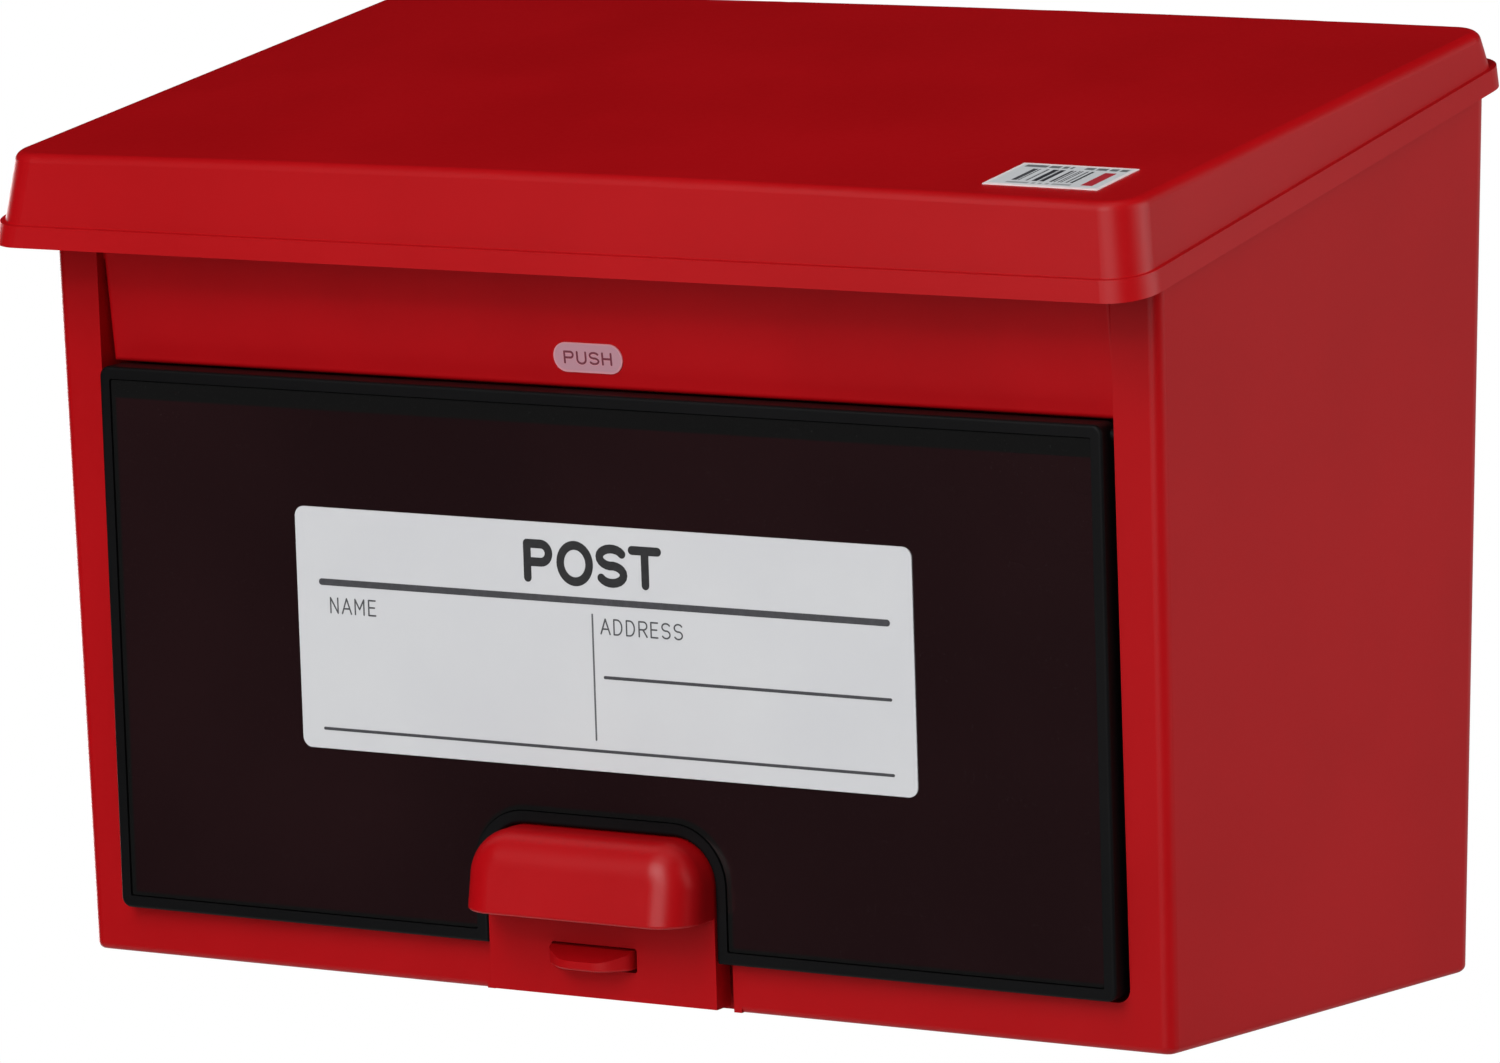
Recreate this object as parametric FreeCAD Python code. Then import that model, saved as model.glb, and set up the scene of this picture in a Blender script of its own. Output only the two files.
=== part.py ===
"""Wall post box: a moulded casing under a sloping lid, a mail flap, and a smoked door with a pull handle.

Millimetres. X runs along the front, Y towards the wall, Z up. The pieces are drawn with the casing's
underside at height 0 and its back face at Y 0, and are then moved so that the origin lies on the back
face, at the centre of the four wall screws.
"""

import FreeCAD
import Part

import math
import os

Vector = FreeCAD.Vector

# Casing
casing_width = 356.4
casing_depth = 175.0
side_draft_deg = 0.66
front_lean_deg = 3.87
wall = 2.5
front_corner_radius = 3.6
back_corner_radius = 8.0
foot_radius = 2.2
smallest_radius = 0.8

# Front opening and what frames it
opening_width = 331.2
opening_bottom = 13.3
opening_corner_radius = 4.0
slot_top = 208.5
jamb_depth = 18.0
sill_depth = 12.0
header_depth = 12.0
cross_rail_top = 168.4
cross_rail_height = 12.0
cross_rail_setback = 10.0
cross_rail_depth = 8.0

# Catch on the casing
notch_gap = 2.2
catch_wall_setback = 4.8
catch_wall_height = 19.5
tongue_width = 27.0
tongue_offset_x = -2.6
tongue_bottom = 10.6
tongue_root_height = 5.4
tongue_tip_height = 2.6
tongue_reach = 7.6
tongue_end_radius = 3.0
tongue_nose_radius = 9.0
tongue_edge_radius = 0.8

# Wall screw holes
screw_hole_radius = 2.5
screw_spacing_x = 260.0
screw_spacing_z = 110.0
lower_screw_height = 45.0
screw_pad_radius = 8.0
screw_pad_height = 1.5

# Lid
lid_width = 376.4
lid_front = 213.4
lid_lower_edge = 205.0
lid_lower_slope_deg = 12.8
lid_crease_height = 231.0
lid_top_slope_deg = 10.45
lid_crown = 1.4
lid_wall = 2.2
lid_front_draft_deg = 5.6
lid_side_draft_deg = 8.2
lid_back_draft_deg = 18.0
lid_front_corner_radius = 12.0
lid_back_corner_radius = 12.0
lid_crease_radius = 3.0
bead_height = 5.9
bead_step = 1.5
lid_rib_gap = 0.5
lid_rib_height = 6.0
lid_rib_thickness = 1.8
lid_rib_room_behind = 40.0
lid_seat_gap = 0.1
lid_post_spacing = 221.0
lid_post_from_back = 169.5
lid_post_radius = 6.0
lid_post_length = 8.0

# Price sticker on the lid
sticker_width = 35.3
sticker_depth = 22.4
sticker_thickness = 0.25
sticker_from_side = 38.9
sticker_from_front = 26.6

# Mail flap
flap_width = 329.8
flap_height = 36.2
flap_bottom = 171.0
flap_bottom_setback = 4.9
flap_lean_deg = 9.5
flap_thickness = 2.2
flap_edge_radius = 1.6
flap_lip_depth = 8.0
flap_arm_thickness = 2.2
flap_arm_inset = 5.0
flap_arm_height = 15.0
flap_pin_radius = 2.0
flap_pin_drop = 5.5
flap_pin_setback = 3.4
flap_stop_length = 4.5
flap_stop_height = 2.0
flap_stop_depth = 3.0
flap_stop_gap = 0.35

# Push badge on the flap
badge_width = 22.6
badge_height = 8.4
badge_thickness = 1.2
badge_proud = 0.4
badge_offset_x = -2.7
badge_centre_height = 9.0

# Door
door_width = 328.0
door_bottom = 14.3
door_top = 171.0
door_proud = 3.8
door_depth = 8.0
door_corner_radius = 3.0
rim_thickness = 3.5
ledge_width = 1.5
ledge_thickness = 1.5
top_ledge_width = 5.2
door_edge_radius = 1.0
door_pin_radius = 1.6
door_pin_drop = 3.4
door_pin_setback = 2.2
pin_clearance = 0.05
pin_length = 3.9
door_rest_deg = 0.5
web_bottom = 24.0
web_behind_rim = 1.6
web_overlap = 0.6

# Window and name card
window_thickness = 2.0
window_recess = 0.5
window_gap = 0.3
card_width = 202.0
card_height = 68.8
card_bottom = 65.8
card_offset_x = 2.9
card_thickness = 0.4
card_corner_radius = 3.0

# Handle
handle_width = 74.6
handle_bottom = 1.4
handle_top = 48.8
handle_crown_radius = 13.0
handle_plate = 2.4
handle_flange = 2.0
handle_back = 3.5
handle_gap = 0.4
hood_lip_height = 26.6
hood_reach = 18.0
hood_wall = 2.2
hood_round = 11.0
hood_lip_radius = 0.8
hood_face_lean_deg = 11.0
slot_side_gap = 0.6
slot_bottom = 9.6
slot_height = 6.9
slot_corner_radius = 0.9

# Handle screws
handle_screw_spacing = 46.0
handle_screw_height = 36.0
handle_screw_radius = 1.5
handle_screw_head_radius = 3.0
handle_screw_head_height = 1.8
handle_screw_grip = 5.0
screw_fit = 0.05
boss_radius = 3.4

# Values that follow from the sizes above
side_draft = math.tan(math.radians(side_draft_deg))
front_lean = math.tan(math.radians(front_lean_deg))
lid_top_slope = math.tan(math.radians(lid_top_slope_deg))
lid_lower_slope = math.tan(math.radians(lid_lower_slope_deg))
lid_front_draft = math.tan(math.radians(lid_front_draft_deg))
lid_side_draft = math.tan(math.radians(lid_side_draft_deg))
lid_back_draft = math.tan(math.radians(lid_back_draft_deg))
lid_crease_from_back = lid_front - bead_step - (lid_crease_height - lid_lower_edge) * lid_front_draft
screw_centre_height = lower_screw_height + screw_spacing_z / 2.0
notch_half_width = handle_width / 2.0 + notch_gap
plate_reach = door_proud + (door_top - door_pin_drop - tongue_bottom) * math.tan(math.radians(door_rest_deg))
lid_back_height = lid_crease_height + lid_crease_from_back * lid_top_slope
beyond = 30.0
tall = lid_back_height + beyond


def front_view(depth):
    """Return a map from (x, height) to a point at the given depth behind the front plane."""
    return lambda x, z: Vector(x, depth, z)


def plan_view(height):
    """Return a map from (x, y) to a point at the given height."""
    return lambda x, y: Vector(x, y, height)


def side_view(x):
    """Return a map from (y, z) to a point at the given x."""
    return lambda y, z: Vector(x, y, z)


def outline(corners, place):
    """Return a closed wire through (u, v, radius) corners, each rounded by its radius."""
    count = len(corners)
    entries = []
    for index, (u, v, radius) in enumerate(corners):
        before = corners[index - 1]
        after = corners[(index + 1) % count]
        here = Vector(u, v, 0)
        back = (Vector(before[0], before[1], 0) - here).normalize()
        ahead = (Vector(after[0], after[1], 0) - here).normalize()
        if radius <= 0:
            entries.append((here, None, here))
            continue
        half_angle = back.getAngle(ahead) / 2.0
        reach = radius / math.tan(half_angle)
        middle_way = (back + ahead).normalize()
        centre = here + middle_way * (radius / math.sin(half_angle))
        entries.append((here + back * reach, centre - middle_way * radius, here + ahead * reach))
    edges = []
    for index, (start, middle, end) in enumerate(entries):
        if middle is not None:
            arc_points = [place(point.x, point.y) for point in (start, middle, end)]
            edges.append(Part.Arc(*arc_points).toShape())
        next_start = entries[(index + 1) % count][0]
        if end.distanceToPoint(next_start) > 1e-6:
            edges.append(Part.makeLine(place(end.x, end.y), place(next_start.x, next_start.y)))
    return Part.Wire(edges)


def slab(wire, direction):
    """Return the solid swept by a flat wire along a vector."""
    return Part.Face(wire).extrude(direction)


def box(x_low, x_high, y_low, y_high, z_low, z_high):
    """Return a box between two corners."""
    return Part.makeBox(x_high - x_low, y_high - y_low, z_high - z_low, Vector(x_low, y_low, z_low))


def cylinder(radius, length, centre, direction):
    """Return a cylinder that starts at a point and runs along a direction."""
    return Part.makeCylinder(radius, length, centre, direction)


def mirrored(shape):
    """Return the shape's mirror image across the middle plane."""
    return shape.mirror(Vector(0, 0, 0), Vector(1, 0, 0))


def leaning(shape):
    """Move a piece drawn on an upright front plane at Y 0 onto the casing's leaning front."""
    moved = shape.copy()
    moved.rotate(Vector(0, 0, 0), Vector(1, 0, 0), front_lean_deg)
    moved.translate(Vector(0, -casing_depth, 0))
    return moved


def drafted_block(lower, upper, front_radius, back_radius):
    """Return the block between two four-cornered sections, with its four upright edges rounded.

    Each section's corners run from the front left round to the back left.
    """
    rings = [list(reversed(lower)), upper]
    for here in range(len(lower)):
        there = (here + 1) % len(lower)
        rings.append([lower[here], lower[there], upper[there], upper[here]])
    faces = [Part.Face(Part.makePolygon(ring + [ring[0]])) for ring in rings]
    block = Part.makeSolid(Part.makeShell(faces))
    for radius, corners in ((front_radius, (0, 1)), (back_radius, (2, 3))):
        middles = [(lower[index] + upper[index]) * 0.5 for index in corners]

        def is_upright_corner(edge):
            return min(edge.CenterOfMass.distanceToPoint(middle) for middle in middles) < radius

        block = fillet_where(block, radius, is_upright_corner)
    return block


def four_corners(half, front, back, height_at):
    """Return the corners of a section that is symmetric across the middle plane."""
    flat = [(-half, front), (half, front), (half, back), (-half, back)]
    return [Vector(x, y, height_at(y)) for x, y in flat]


def casing_prism(inset, low, high):
    """Return the casing's drafted, leaning block, drawn in by an inset, between two heights."""
    sections = []
    for height in (low, high):
        half = casing_width / 2.0 + height * side_draft - inset
        front = -casing_depth - height * front_lean + inset
        sections.append(four_corners(half, front, -inset, lambda y: height))
    front_radius = max(front_corner_radius - inset, smallest_radius)
    back_radius = max(back_corner_radius - inset, smallest_radius)
    return drafted_block(sections[0], sections[1], front_radius, back_radius)


def lid_section(rise, offset, back):
    """Return the corners of the lid's block, grown by an offset, in a plane over its lower edge."""
    half = lid_width / 2.0 - bead_step - rise * lid_side_draft + offset
    front = -lid_front + bead_step + rise * lid_front_draft - offset
    base = lid_lower_edge + rise
    return four_corners(half, front, back, lambda y: base + (y + lid_front) * lid_lower_slope)


def lid_prism(offset, back, back_draft):
    """Return the lid's drafted block, grown by an offset, from well below it to well above it."""
    front_radius = lid_front_corner_radius - bead_step + offset
    back_radius = lid_back_corner_radius - bead_step + offset
    lower = lid_section(-beyond, offset, back + beyond * back_draft)
    upper = lid_section(2.0 * beyond, offset, back - 2.0 * beyond * back_draft)
    return drafted_block(lower, upper, front_radius, back_radius)


def lid_cavity(inset):
    """Return the space inside the lid's skirts, drawn in by an inset."""
    return lid_prism(-inset, -bead_step - inset, lid_back_draft)


def lid_back_room():
    """Return the block that the lid's back skirt takes up, with a gap below and in front of it."""
    near = bead_step + lid_wall + lid_seat_gap + (lid_back_height - lid_lower_edge) * lid_back_draft
    return above_lid_edge(-lid_seat_gap).common(box(-lid_width, lid_width, -near, beyond, 0, tall))


def below_lid_top(drop):
    """Return the block under the lid's crowned, sloping top, lowered by a drop."""
    half = lid_width
    start_y = -lid_front - beyond
    middle_height = lid_crease_height + (start_y + lid_crease_from_back) * lid_top_slope - drop + lid_crown
    far_height = middle_height - lid_crown * (half / (lid_width / 2.0)) ** 2
    left = Vector(-half, start_y, far_height)
    middle = Vector(0, start_y, middle_height)
    right = Vector(half, start_y, far_height)
    edges = [
        Part.Arc(left, middle, right).toShape(),
        Part.makeLine(right, Vector(half, start_y, -tall)),
        Part.makeLine(Vector(half, start_y, -tall), Vector(-half, start_y, -tall)),
        Part.makeLine(Vector(-half, start_y, -tall), left),
    ]
    length = lid_front + 2.0 * beyond
    return slab(Part.Wire(edges), Vector(0, length, length * lid_top_slope))


def above_lid_edge(rise):
    """Return the block over the lid's sloping lower edge, raised by a rise."""
    start_y = -lid_front - beyond
    end_y = beyond
    start_z = lid_lower_edge + rise - beyond * lid_lower_slope
    end_z = lid_lower_edge + rise + (lid_front + beyond) * lid_lower_slope
    corners = [(start_y, start_z, 0), (end_y, end_z, 0), (end_y, 2 * tall, 0), (start_y, 2 * tall, 0)]
    return slab(outline(corners, side_view(-lid_width)), Vector(2.0 * lid_width, 0, 0))


def fillet_where(shape, radius, wanted):
    """Round the edges of a shape that a test picks."""
    edges = [edge for edge in shape.Edges if wanted(edge)]
    return shape.makeFillet(radius, edges)


def opening_outline(low, high, lower_radius):
    """Return the front opening's outline, cut a little past the front plane."""
    half = opening_width / 2.0
    corners = [(-half, low, lower_radius), (half, low, lower_radius), (half, high, 0), (-half, high, 0)]
    return outline(corners, front_view(-beyond))


def casing_front_frame():
    """Return the walls behind the front opening, drawn upright: jambs, sill, header and cross rail."""
    half = opening_width / 2.0
    jamb = box(half, half + wall, 0, jamb_depth, 0, slot_top + wall)
    sill = box(-half, half, 0, sill_depth, opening_bottom - wall, opening_bottom)
    header = box(-half, half, 0, header_depth, slot_top, slot_top + wall)
    rail_low = cross_rail_top - cross_rail_height
    rail_far = cross_rail_setback + cross_rail_depth
    rail_corners = [
        (cross_rail_setback, rail_low, 0),
        (cross_rail_setback + wall, rail_low, 0),
        (cross_rail_setback + wall, cross_rail_top - 2.0 * wall, 0),
        (rail_far, cross_rail_top - 2.5 * wall, 0),
        (rail_far, cross_rail_top - 1.5 * wall, 0),
        (cross_rail_setback + wall, cross_rail_top, 1.0),
        (cross_rail_setback, cross_rail_top, 0.8),
    ]
    cross_rail = slab(outline(rail_corners, side_view(-half)), Vector(2.0 * half, 0, 0))
    return [jamb, mirrored(jamb), sill, header, cross_rail]


def catch_bracket():
    """Return the walls that carry the catch, drawn upright, without the tongue."""
    near = catch_wall_setback
    far = catch_wall_setback + wall
    back_wall = box(-notch_half_width - wall, notch_half_width + wall, near, far, 0, catch_wall_height)
    cheek = box(notch_half_width, notch_half_width + wall, 0, far, 0, opening_bottom)
    return [back_wall, cheek, mirrored(cheek)]


def catch_tongue():
    """Return the lens-shaped tongue with its bevelled top, drawn upright."""
    half = tongue_width / 2.0
    root = -plate_reach
    tip = root - tongue_reach
    left = tongue_offset_x - half
    right = tongue_offset_x + half
    shoulder = root - tongue_reach / 3.0
    plan_corners = [
        (left, catch_wall_setback, 0),
        (left, shoulder, tongue_end_radius),
        (tongue_offset_x - half / 2.0, tip, tongue_nose_radius),
        (tongue_offset_x + half / 2.0, tip, tongue_nose_radius),
        (right, shoulder, tongue_end_radius),
        (right, catch_wall_setback, 0),
    ]
    body = slab(outline(plan_corners, plan_view(tongue_bottom)), Vector(0, 0, tongue_root_height))
    low = tongue_bottom
    bevel_start = root - 1.0
    corners = [
        (catch_wall_setback, low, 0),
        (tip - 1.0, low, 0),
        (tip - 1.0, low + tongue_tip_height, 0),
        (tip, low + tongue_tip_height, 0),
        (bevel_start, low + tongue_root_height, 0),
        (catch_wall_setback, low + tongue_root_height, 0),
    ]
    profile = slab(outline(corners, side_view(left - 1.0)), Vector(tongue_width + 2.0, 0, 0))
    tongue = body.common(profile)

    def is_nose(edge):
        return edge.BoundBox.YMax < shoulder + 1.0 and edge.BoundBox.ZMax < low + 0.1

    return fillet_where(tongue, tongue_edge_radius, is_nose)


def flap_stop():
    """Return the small block on the right jamb behind the flap's top edge, in casing coordinates."""
    lean = math.tan(math.radians(flap_lean_deg))
    top = flap_bottom + flap_height * math.cos(math.radians(flap_lean_deg))
    base_y = -casing_depth - flap_bottom * front_lean + flap_bottom_setback
    flap_back = base_y - (top - flap_bottom) * lean + flap_thickness
    near = flap_back + flap_stop_height * lean + flap_stop_gap
    half = opening_width / 2.0
    low = top - flap_stop_height
    return box(half - flap_stop_length, half + wall / 2.0, near, near + flap_stop_depth, low, slot_top)


def pin_hole(centre, radius):
    """Return a pair of holes through both jambs at a point given as (y, z)."""
    start = Vector(opening_width / 2.0 - wall, centre[0], centre[1])
    right = cylinder(radius, 3.0 * wall, start, Vector(1, 0, 0))
    return [right, mirrored(right)]


def door_pin_centre():
    """Return the door's pin centre (y, z), drawn upright."""
    return (door_pin_setback, door_top - door_pin_drop)


def flap_pin_centre():
    """Return the flap's pin centre (y, z) in the flap's own upright drawing."""
    return (flap_pin_setback, flap_height - flap_pin_drop)


def hung(shape):
    """Move a piece drawn on the upright front plane onto the door, whose lower edge rests a little out."""
    moved = shape.copy()
    pin_y, pin_z = door_pin_centre()
    moved.rotate(Vector(0, pin_y, pin_z), Vector(1, 0, 0), -door_rest_deg)
    return leaning(moved)


def flap_placed(shape):
    """Move a piece drawn with the flap's lower front edge at the origin to where the flap hangs."""
    moved = shape.copy()
    moved.rotate(Vector(0, 0, 0), Vector(1, 0, 0), flap_lean_deg)
    base_y = -casing_depth - flap_bottom * front_lean + flap_bottom_setback
    moved.translate(Vector(0, base_y, flap_bottom))
    return moved


def wall_screw_places():
    """Return the (x, z) of each wall screw."""
    heights = (lower_screw_height, lower_screw_height + screw_spacing_z)
    return [(side * screw_spacing_x / 2.0, height) for side in (-1, 1) for height in heights]


def make_casing():
    """Return the casing: one moulding with its back, sides, floor, front frame and catch."""
    outer = casing_prism(0.0, 0.0, tall)
    outer = fillet_where(outer, foot_radius, lambda edge: edge.BoundBox.ZMax < 0.01)
    shell = outer.cut(casing_prism(wall, wall, tall + 1.0))
    opening = opening_outline(opening_bottom, slot_top, opening_corner_radius)
    shell = shell.cut(leaning(slab(opening, Vector(0, beyond + 2.0 * wall, 0))))
    frame = [leaning(piece) for piece in casing_front_frame()]
    inside = casing_prism(wall / 2.0, wall / 2.0, tall)
    notch_top = opening_bottom + wall
    notch = box(-notch_half_width, notch_half_width, -beyond, catch_wall_setback, -beyond, notch_top)
    shell = shell.fuse([piece.common(inside) for piece in frame]).cut(leaning(notch))
    bracket = [leaning(piece).common(casing_prism(0.0, 0.0, tall)) for piece in catch_bracket()]
    shell = shell.fuse(bracket + [leaning(catch_tongue())])
    shell = shell.fuse([flap_stop(), mirrored(flap_stop())])
    forward = Vector(0, -1, 0)
    pads = []
    holes = []
    for x, z in wall_screw_places():
        pad_start = Vector(x, -wall / 2.0, z)
        pads.append(cylinder(screw_pad_radius, screw_pad_height + wall / 2.0, pad_start, forward))
        holes.append(cylinder(screw_hole_radius, 3.0 * wall, Vector(x, wall / 2.0, z), forward))
    shell = shell.fuse(pads).cut(holes)
    door_holes = pin_hole(door_pin_centre(), door_pin_radius + pin_clearance)
    door_holes = [leaning(hole) for hole in door_holes]
    flap_holes = pin_hole(flap_pin_centre(), flap_pin_radius + pin_clearance)
    flap_holes = [flap_placed(hole) for hole in flap_holes]
    shell = shell.cut(door_holes + flap_holes)
    shell = shell.common(below_lid_top(lid_wall + lid_seat_gap)).cut(lid_back_room())
    return shell.removeSplitter()


def lid_top_height(y):
    """Return the height of the lid's top at its side, before its edge is rounded."""
    return lid_crease_height + (y + lid_crease_from_back) * lid_top_slope


def under_lid_top(depth):
    """Return the space from inside the lid's top down to a depth under it, for what hangs there."""
    root = lid_wall / 4.0
    start_y = -lid_front
    start_z = lid_top_height(start_y)
    end_z = lid_top_height(0.0)
    corners = [
        (start_y, start_z - lid_wall - depth, 0),
        (0, end_z - lid_wall - depth, 0),
        (0, end_z - root, 0),
        (start_y, start_z - root, 0),
    ]
    return slab(outline(corners, side_view(-lid_width / 2.0)), Vector(lid_width, 0, 0))


def lid_ribs():
    """Return the three ribs that locate the lid just inside the casing's front and side walls."""
    half = casing_width / 2.0 + lid_lower_edge * side_draft - wall - lid_rib_gap
    front = -casing_depth - lid_lower_edge * front_lean + wall + lid_rib_gap
    far = -lid_rib_room_behind
    side_rib = box(half - lid_rib_thickness, half, front, far, 0, tall)
    front_rib = box(-half, half, front, front + lid_rib_thickness, 0, tall)
    return [rib.common(under_lid_top(lid_rib_height)) for rib in (side_rib, mirrored(side_rib), front_rib)]


def lid_posts():
    """Return the two round posts under the lid, which leave the faint rings on its top."""
    posts = []
    for side in (-1, 1):
        foot = Vector(side * lid_post_spacing / 2.0, -lid_post_from_back, 0)
        post = cylinder(lid_post_radius, tall, foot, Vector(0, 0, 1))
        posts.append(post.common(under_lid_top(lid_post_length)))
    return posts


def make_lid():
    """Return the lid: a drafted cap with a crowned sloping top, a stepped bead, ribs and posts."""
    cap = lid_prism(0.0, -bead_step, lid_back_draft).common(below_lid_top(0.0))

    def is_crease(edge):
        middle = edge.CenterOfMass
        return abs(middle.z - lid_top_height(middle.y)) < 2.0 * lid_crown

    cap = fillet_where(cap, lid_crease_radius, is_crease)
    cap = cap.common(above_lid_edge(0.0))
    bead = lid_prism(bead_step, 0.0, 0.0).common(above_lid_edge(0.0)).cut(above_lid_edge(bead_height))
    hollow = lid_cavity(lid_wall).common(below_lid_top(lid_wall))
    shell = cap.fuse(bead).cut(hollow)
    return shell.fuse(lid_ribs() + lid_posts()).removeSplitter()


def make_lid_sticker():
    """Return the price sticker, bent to the lid's crowned top."""
    x_low = lid_width / 2.0 - sticker_from_side - sticker_width / 2.0
    y_low = -lid_front + sticker_from_front - sticker_depth / 2.0
    block = box(x_low, x_low + sticker_width, y_low, y_low + sticker_depth, lid_lower_edge, tall)
    return block.common(below_lid_top(-sticker_thickness)).cut(below_lid_top(0.0))


def flap_plate():
    """Return the flap's front plate with its rounded edge."""
    half = flap_width / 2.0
    plate = box(-half, half, 0, flap_thickness, 0, flap_height)
    return fillet_where(plate, flap_edge_radius, lambda edge: edge.BoundBox.YMax < 0.01)


def make_flap():
    """Return the mail flap: plate, lower lip, end arms and hinge pins, hung at its own lean."""
    half = flap_width / 2.0
    lip = box(-half + flap_edge_radius, half - flap_edge_radius, flap_thickness / 2.0, flap_lip_depth,
              flap_edge_radius, flap_edge_radius + flap_thickness)
    pin_y, pin_z = flap_pin_centre()
    arm_low = flap_height - flap_arm_height
    arm_far = flap_pin_setback + flap_pin_radius + 1.0
    arm_top = pin_z + flap_pin_radius + 1.0
    arm_corners = [
        (flap_thickness / 2.0, arm_low, 0),
        (arm_far, pin_z - flap_pin_radius, 2.0),
        (arm_far, arm_top, 2.0),
        (flap_thickness / 2.0, arm_top, 0),
    ]
    arm_x = half - flap_arm_inset - flap_arm_thickness
    arm = slab(outline(arm_corners, side_view(arm_x)), Vector(flap_arm_thickness, 0, 0))
    pin_start = Vector(arm_x, pin_y, pin_z)
    pin = cylinder(flap_pin_radius, half + pin_length - arm_x, pin_start, Vector(1, 0, 0))
    pieces = [lip, arm, mirrored(arm), pin, mirrored(pin)]
    flap = flap_plate().fuse(pieces).cut(badge_solid(0.0))
    return flap_placed(flap.removeSplitter())


def badge_solid(front):
    """Return the pill-shaped badge, drawn on the flap, with its face this far in front."""
    x_low = badge_offset_x - badge_width / 2.0
    z_low = badge_centre_height - badge_height / 2.0
    radius = badge_height / 2.0 - 0.01
    corners = [
        (x_low, z_low, radius),
        (x_low + badge_width, z_low, radius),
        (x_low + badge_width, z_low + badge_height, radius),
        (x_low, z_low + badge_height, radius),
    ]
    sunk = badge_thickness - badge_proud
    return slab(outline(corners, front_view(sunk)), Vector(0, -sunk - front, 0))


def make_push_badge():
    """Return the badge set into the flap."""
    return flap_placed(badge_solid(badge_proud))


def door_outline(inset, depth):
    """Return the door's outline with its notch for the handle, drawn in by an inset."""
    half = door_width / 2.0 - inset
    low = door_bottom + inset
    high = door_top - inset
    notch_half = handle_width / 2.0 + handle_gap + inset
    notch_top = handle_top + handle_gap + inset
    outer_radius = max(door_corner_radius - inset, 0.6)
    crown_radius = handle_crown_radius + handle_gap + inset
    corners = [
        (-half, low, outer_radius),
        (-notch_half, low, 0.6),
        (-notch_half, notch_top, crown_radius),
        (notch_half, notch_top, crown_radius),
        (notch_half, low, 0.6),
        (half, low, outer_radius),
        (half, high, outer_radius),
        (-half, high, outer_radius),
    ]
    return outline(corners, front_view(depth))


def handle_outline(inset, depth, low):
    """Return the handle's rounded outline, drawn in by an inset, down to a given height."""
    half = handle_width / 2.0 - inset
    radius = max(handle_crown_radius - inset, 1.0)
    corners = [
        (-half, low, 0),
        (half, low, 0),
        (half, handle_top - inset, radius),
        (-half, handle_top - inset, radius),
    ]
    return outline(corners, front_view(depth))


def handle_screw_places():
    """Return the x of each handle screw."""
    return (-handle_screw_spacing / 2.0, handle_screw_spacing / 2.0)


def make_door_frame():
    """Return the black door frame: rim, window ledge, hinge pins and the web behind the handle."""
    back = door_depth - door_proud
    ledge_front = window_thickness + window_recess - door_proud
    block = slab(door_outline(0.0, -door_proud), Vector(0, door_depth, 0))
    block = fillet_where(block, door_edge_radius, lambda edge: edge.BoundBox.YMax < 0.1 - door_proud)
    inner = slab(door_outline(rim_thickness, -door_proud - 1.0), Vector(0, door_depth + 2.0, 0))
    ring = slab(door_outline(rim_thickness, ledge_front), Vector(0, ledge_thickness, 0))
    ring = ring.cut(slab(door_outline(rim_thickness + ledge_width, ledge_front - 1.0),
                         Vector(0, ledge_thickness + 2.0, 0)))
    half = door_width / 2.0
    rail_half = half - rim_thickness
    rail_top = door_top - rim_thickness
    top_rail = box(-rail_half, rail_half, ledge_front, back, rail_top - top_ledge_width, rail_top)
    frame = block.cut(inner).fuse([ring, top_rail])
    web_corners = [
        (-handle_width / 2.0 - rim_thickness, web_bottom, 0),
        (handle_width / 2.0 + rim_thickness, web_bottom, 0),
        (handle_width / 2.0 + rim_thickness, handle_top + rim_thickness, handle_crown_radius),
        (-handle_width / 2.0 - rim_thickness, handle_top + rim_thickness, handle_crown_radius),
    ]
    web_outline = outline(web_corners, front_view(back - web_overlap))
    web = slab(web_outline, Vector(0, web_behind_rim + web_overlap, 0))
    pin_y, pin_z = door_pin_centre()
    pin_start = Vector(rail_half, pin_y, pin_z)
    pin = cylinder(door_pin_radius, pin_length + rim_thickness, pin_start, Vector(1, 0, 0))
    frame = frame.fuse([web, pin, mirrored(pin)])
    clearances = []
    for x in handle_screw_places():
        mouth = Vector(x, back + 2.0 * web_behind_rim, handle_screw_height)
        clearances.append(cylinder(handle_screw_radius + screw_fit, door_depth, mouth, Vector(0, -1, 0)))
    return hung(frame.cut(clearances).removeSplitter())


def make_door_window():
    """Return the smoked window, set inside the rim against its ledge."""
    front = -door_proud + window_recess
    return hung(slab(door_outline(rim_thickness + window_gap, front), Vector(0, window_thickness, 0)))


def make_name_card():
    """Return the name card on the window's front."""
    x_low = card_offset_x - card_width / 2.0
    corners = [
        (x_low, card_bottom, card_corner_radius),
        (x_low + card_width, card_bottom, card_corner_radius),
        (x_low + card_width, card_bottom + card_height, card_corner_radius),
        (x_low, card_bottom + card_height, card_corner_radius),
    ]
    front = -door_proud + window_recess
    return hung(slab(outline(corners, front_view(front)), Vector(0, -card_thickness, 0)))


def hood_solid(inset, low):
    """Return the hood filled in: walls off the plate that turn through a round into a leaning face."""
    walls = slab(handle_outline(inset, -door_proud, low), Vector(0, -2.0 * hood_reach, 0))
    lip = -door_proud - hood_reach + inset
    lean_back = beyond * math.tan(math.radians(hood_face_lean_deg))
    side_corners = [
        (lip, low - hood_wall, 0),
        (lip, hood_lip_height, 0),
        (lip + lean_back, hood_lip_height + beyond, 0),
        (beyond, hood_lip_height + beyond, 0),
        (beyond, low - hood_wall, 0),
    ]
    side = outline(side_corners, side_view(-handle_width))
    hood = walls.common(slab(side, Vector(2.0 * handle_width, 0, 0)))

    def is_front_rim(edge):
        bounds = edge.BoundBox
        return bounds.YMax < -door_proud - hood_round / 2.0 and bounds.ZMax > low + hood_wall

    return fillet_where(hood, hood_round - inset, is_front_rim)


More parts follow.
